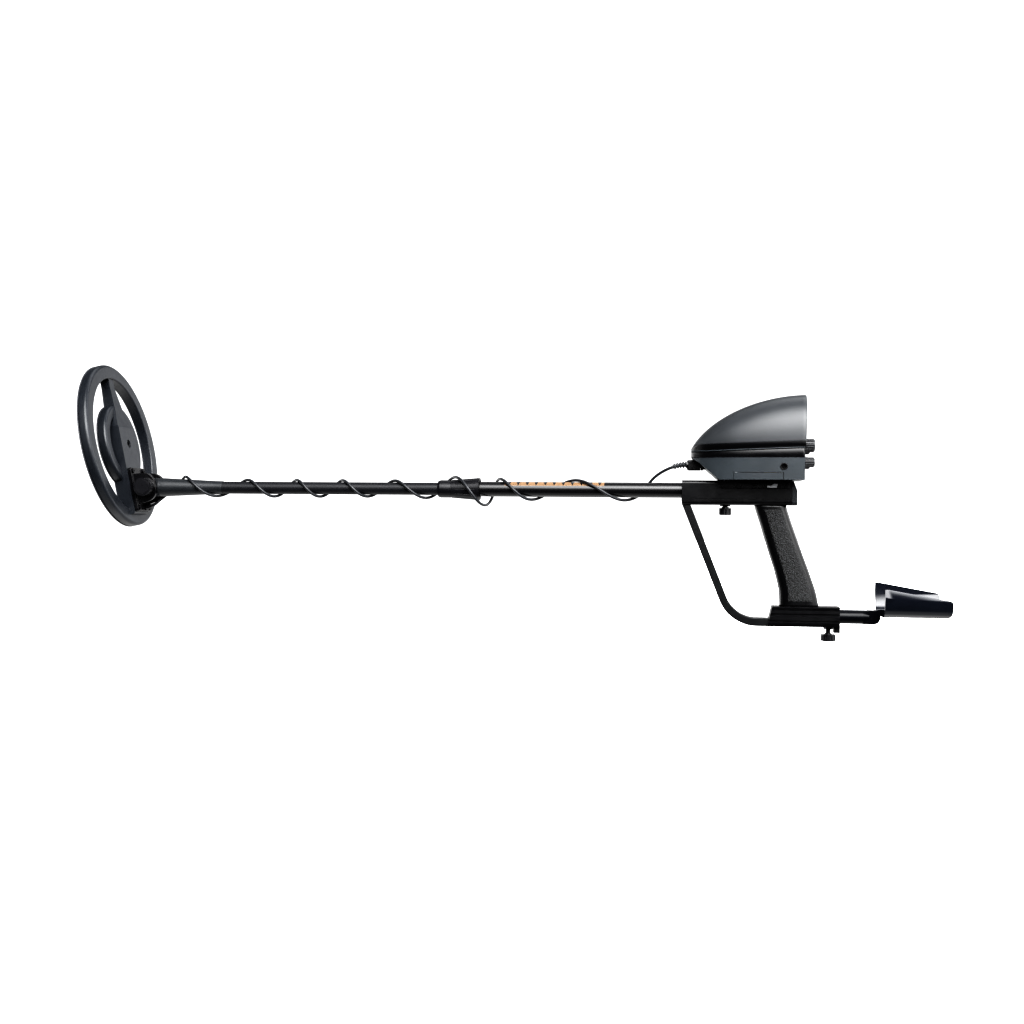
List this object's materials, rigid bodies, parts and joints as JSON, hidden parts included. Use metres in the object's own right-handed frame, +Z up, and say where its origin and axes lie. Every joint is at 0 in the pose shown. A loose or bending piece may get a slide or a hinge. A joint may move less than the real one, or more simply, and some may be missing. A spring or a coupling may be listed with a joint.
{
  "type": "metal detector",
  "caption": "Hand-held metal detector: a ring search coil on a telescopic stem with a wound cable, a control box, a pistol grip with a guard strap, and an arm cuff.",
  "frame": {"origin": "middle of the hand grip, where the palm closes", "axes": "+X along the stem from the coil towards the user, +Z up with the stem level, and Y across the grip, with the side seen in a left-hand profile view at -Y"},
  "size_m": [1.093, 0.216, 0.3474],
  "materials": {
    "coil_plastic": "satin moulded plastic, fine grain",
    "cover_plastic": "satin moulded plastic",
    "bracket_plastic": "glossy moulded plastic",
    "knob_plastic": "semi-gloss moulded plastic, ribbed",
    "stem_plastic": "satin moulded plastic",
    "lower_tube_paint": "satin black powder coat",
    "upper_tube_paint": "gloss black paint",
    "collet_plastic": "natural nylon",
    "housing_paint": "black anodised, semi-gloss",
    "strap_paint": "black powder coat",
    "grip_plastic": "smooth black moulding",
    "grip_foam": "coarse granular foam",
    "cuff_plastic": "blue-black, semi-gloss",
    "rod_paint": "gloss black paint",
    "hood_plastic": "satin moulded plastic, fine grain",
    "case_plastic": "slate grey satin moulded plastic",
    "panel_plastic": "matte black",
    "mount_plastic": "glossy moulded plastic",
    "cable_rubber": "smooth PVC sheath",
    "washer_rubber": "matte rubber",
    "black_screw": "black oxide",
    "bright_steel": "nickel-plated",
    "copper_wire": "enamelled copper",
    "board_laminate": "glass-epoxy laminate",
    "speaker_body": "moulded frame",
    "battery_wrap": "printed metal can",
    "meter_plastic": "black moulding",
    "scale_card": "printed card",
    "window_clear": "clear acrylic",
    "needle_paint": "red paint"
  },
  "bodies": {
    "handle": {"top_housing": "housing_paint", "housing_cap": "stem_plastic", "guard_strap": "strap_paint", "strap_screws": "black_screw", "grip_core": "grip_plastic", "grip_pad_left": "grip_foam", "grip_pad_right": "grip_foam", "lower_housing": "housing_paint", "threaded_bushes": "black_screw", "box_hood": "hood_plastic", "box_base": "case_plastic", "rear_panel": "panel_plastic", "mount_plate": "mount_plastic", "mount_clip": "bright_steel", "case_screws": "black_screw", "batteries": "battery_wrap", "battery_contacts": "panel_plastic", "circuit_board": "board_laminate", "potentiometers": "bright_steel", "speaker": "speaker_body", "meter_body": "meter_plastic", "meter_scale": "scale_card", "meter_window": "window_clear", "headphone_socket": "mount_plastic", "cable_socket": "mount_plastic", "cable_plug": "mount_plastic", "plug_boot": "cable_rubber"},
    "coil": {"coil_shell": "coil_plastic", "coil_cover": "cover_plastic", "outer_winding": "copper_wire", "inner_winding": "copper_wire", "coil_bracket": "bracket_plastic", "bracket_screws": "black_screw", "hub_screw": "bracket_plastic", "cable_gland": "bracket_plastic", "pivot_bolt": "black_screw"},
    "pivot_nut": {"pivot_nut": "knob_plastic"},
    "lower_stem": {"pivot_washers": "washer_rubber", "stem_tip": "stem_plastic", "lower_tube": "lower_tube_paint", "lead_coil": "cable_rubber", "lead_lower": "cable_rubber"},
    "lock_collar": {"lock_collar": "knob_plastic"},
    "upper_stem": {"upper_tube": "upper_tube_paint", "collet": "collet_plastic", "lead_upper": "cable_rubber"},
    "arm_rest": {"arm_rod": "rod_paint", "arm_cuff": "cuff_plastic", "cuff_screws": "bright_steel"},
    "thumb_screw_front": {"thumb_screw_front": "knob_plastic"},
    "thumb_screw_rear": {"thumb_screw_rear": "knob_plastic"},
    "battery_door": {"battery_door": "case_plastic"},
    "meter_needle": {"meter_needle": "needle_paint"},
    "knob_sensitivity": {"knob_sensitivity": "knob_plastic"},
    "knob_discrimination": {"knob_discrimination": "knob_plastic"},
    "knob_volume": {"knob_volume": "knob_plastic"},
    "knob_tuning": {"knob_tuning": "knob_plastic"},
    "mode_switch": {"mode_switch": "bright_steel"}
  },
  "joints": [
    {"name": "shaft_slide", "type": "slide", "parent": "handle", "child": "upper_stem", "axis": [-1, 0, 0], "range_m": [0, 0.06], "deforming": ["lead_upper"]},
    {"name": "stem_slide", "type": "slide", "parent": "upper_stem", "child": "lower_stem", "axis": [-1, 0, 0], "range_m": [-0.15, 0.08], "deforming": ["lead_lower"]},
    {"name": "collar_twist", "type": "hinge", "parent": "upper_stem", "child": "lock_collar", "pos_m": [-0.41, 0, 0.08], "axis": [1, 0, 0], "range_deg": [0, 90]},
    {"name": "coil_tilt", "type": "hinge", "parent": "lower_stem", "child": "coil", "pos_m": [-0.823, 0, 0.08], "axis": [0, 1, 0], "range_deg": [-64, 20], "deforming": ["lead_coil"]},
    {"name": "pivot_nut_turn", "type": "hinge", "parent": "coil", "child": "pivot_nut", "pos_m": [-0.823, -0.027, 0.08], "axis": [0, 1, 0], "range_deg": [-360, 0]},
    {"name": "front_screw_turn", "type": "hinge", "parent": "handle", "child": "thumb_screw_front", "pos_m": [-0.0736, 0, 0.055], "axis": [0, 0, 1], "range_deg": [-540, 0]},
    {"name": "rear_screw_turn", "type": "hinge", "parent": "handle", "child": "thumb_screw_rear", "pos_m": [0.0542, 0, -0.1], "axis": [0, 0, 1], "range_deg": [-540, 0]},
    {"name": "arm_slide", "type": "slide", "parent": "handle", "child": "arm_rest", "axis": [1, 0, 0], "range_m": [-0.02, 0.03]},
    {"name": "door_slide", "type": "slide", "parent": "handle", "child": "battery_door", "axis": [0, -1, 0], "range_m": [0, 0.034]},
    {"name": "needle_swing", "type": "hinge", "parent": "handle", "child": "meter_needle", "pos_m": [0.0125, 0, 0.155], "axis": [1, 0, 0], "range_deg": [-90, 0], "stiffness_Nm_per_rad": 0.0006},
    {"name": "sensitivity_turn", "type": "hinge", "parent": "handle", "child": "knob_sensitivity", "pos_m": [0.02, -0.034, 0.1352], "axis": [1, 0, 0], "range_deg": [-150, 150]},
    {"name": "discrimination_turn", "type": "hinge", "parent": "handle", "child": "knob_discrimination", "pos_m": [0.02, 0.034, 0.1352], "axis": [1, 0, 0], "range_deg": [-150, 150]},
    {"name": "volume_turn", "type": "hinge", "parent": "handle", "child": "knob_volume", "pos_m": [0.02, -0.034, 0.1146], "axis": [1, 0, 0], "range_deg": [-150, 150]},
    {"name": "tuning_turn", "type": "hinge", "parent": "handle", "child": "knob_tuning", "pos_m": [0.02, 0.034, 0.1146], "axis": [1, 0, 0], "range_deg": [-150, 150]},
    {"name": "mode_toggle", "type": "hinge", "parent": "handle", "child": "mode_switch", "pos_m": [0.0132, 0, 0.121], "axis": [0, 0, 1], "range_deg": [-14, 14]}
  ]
}
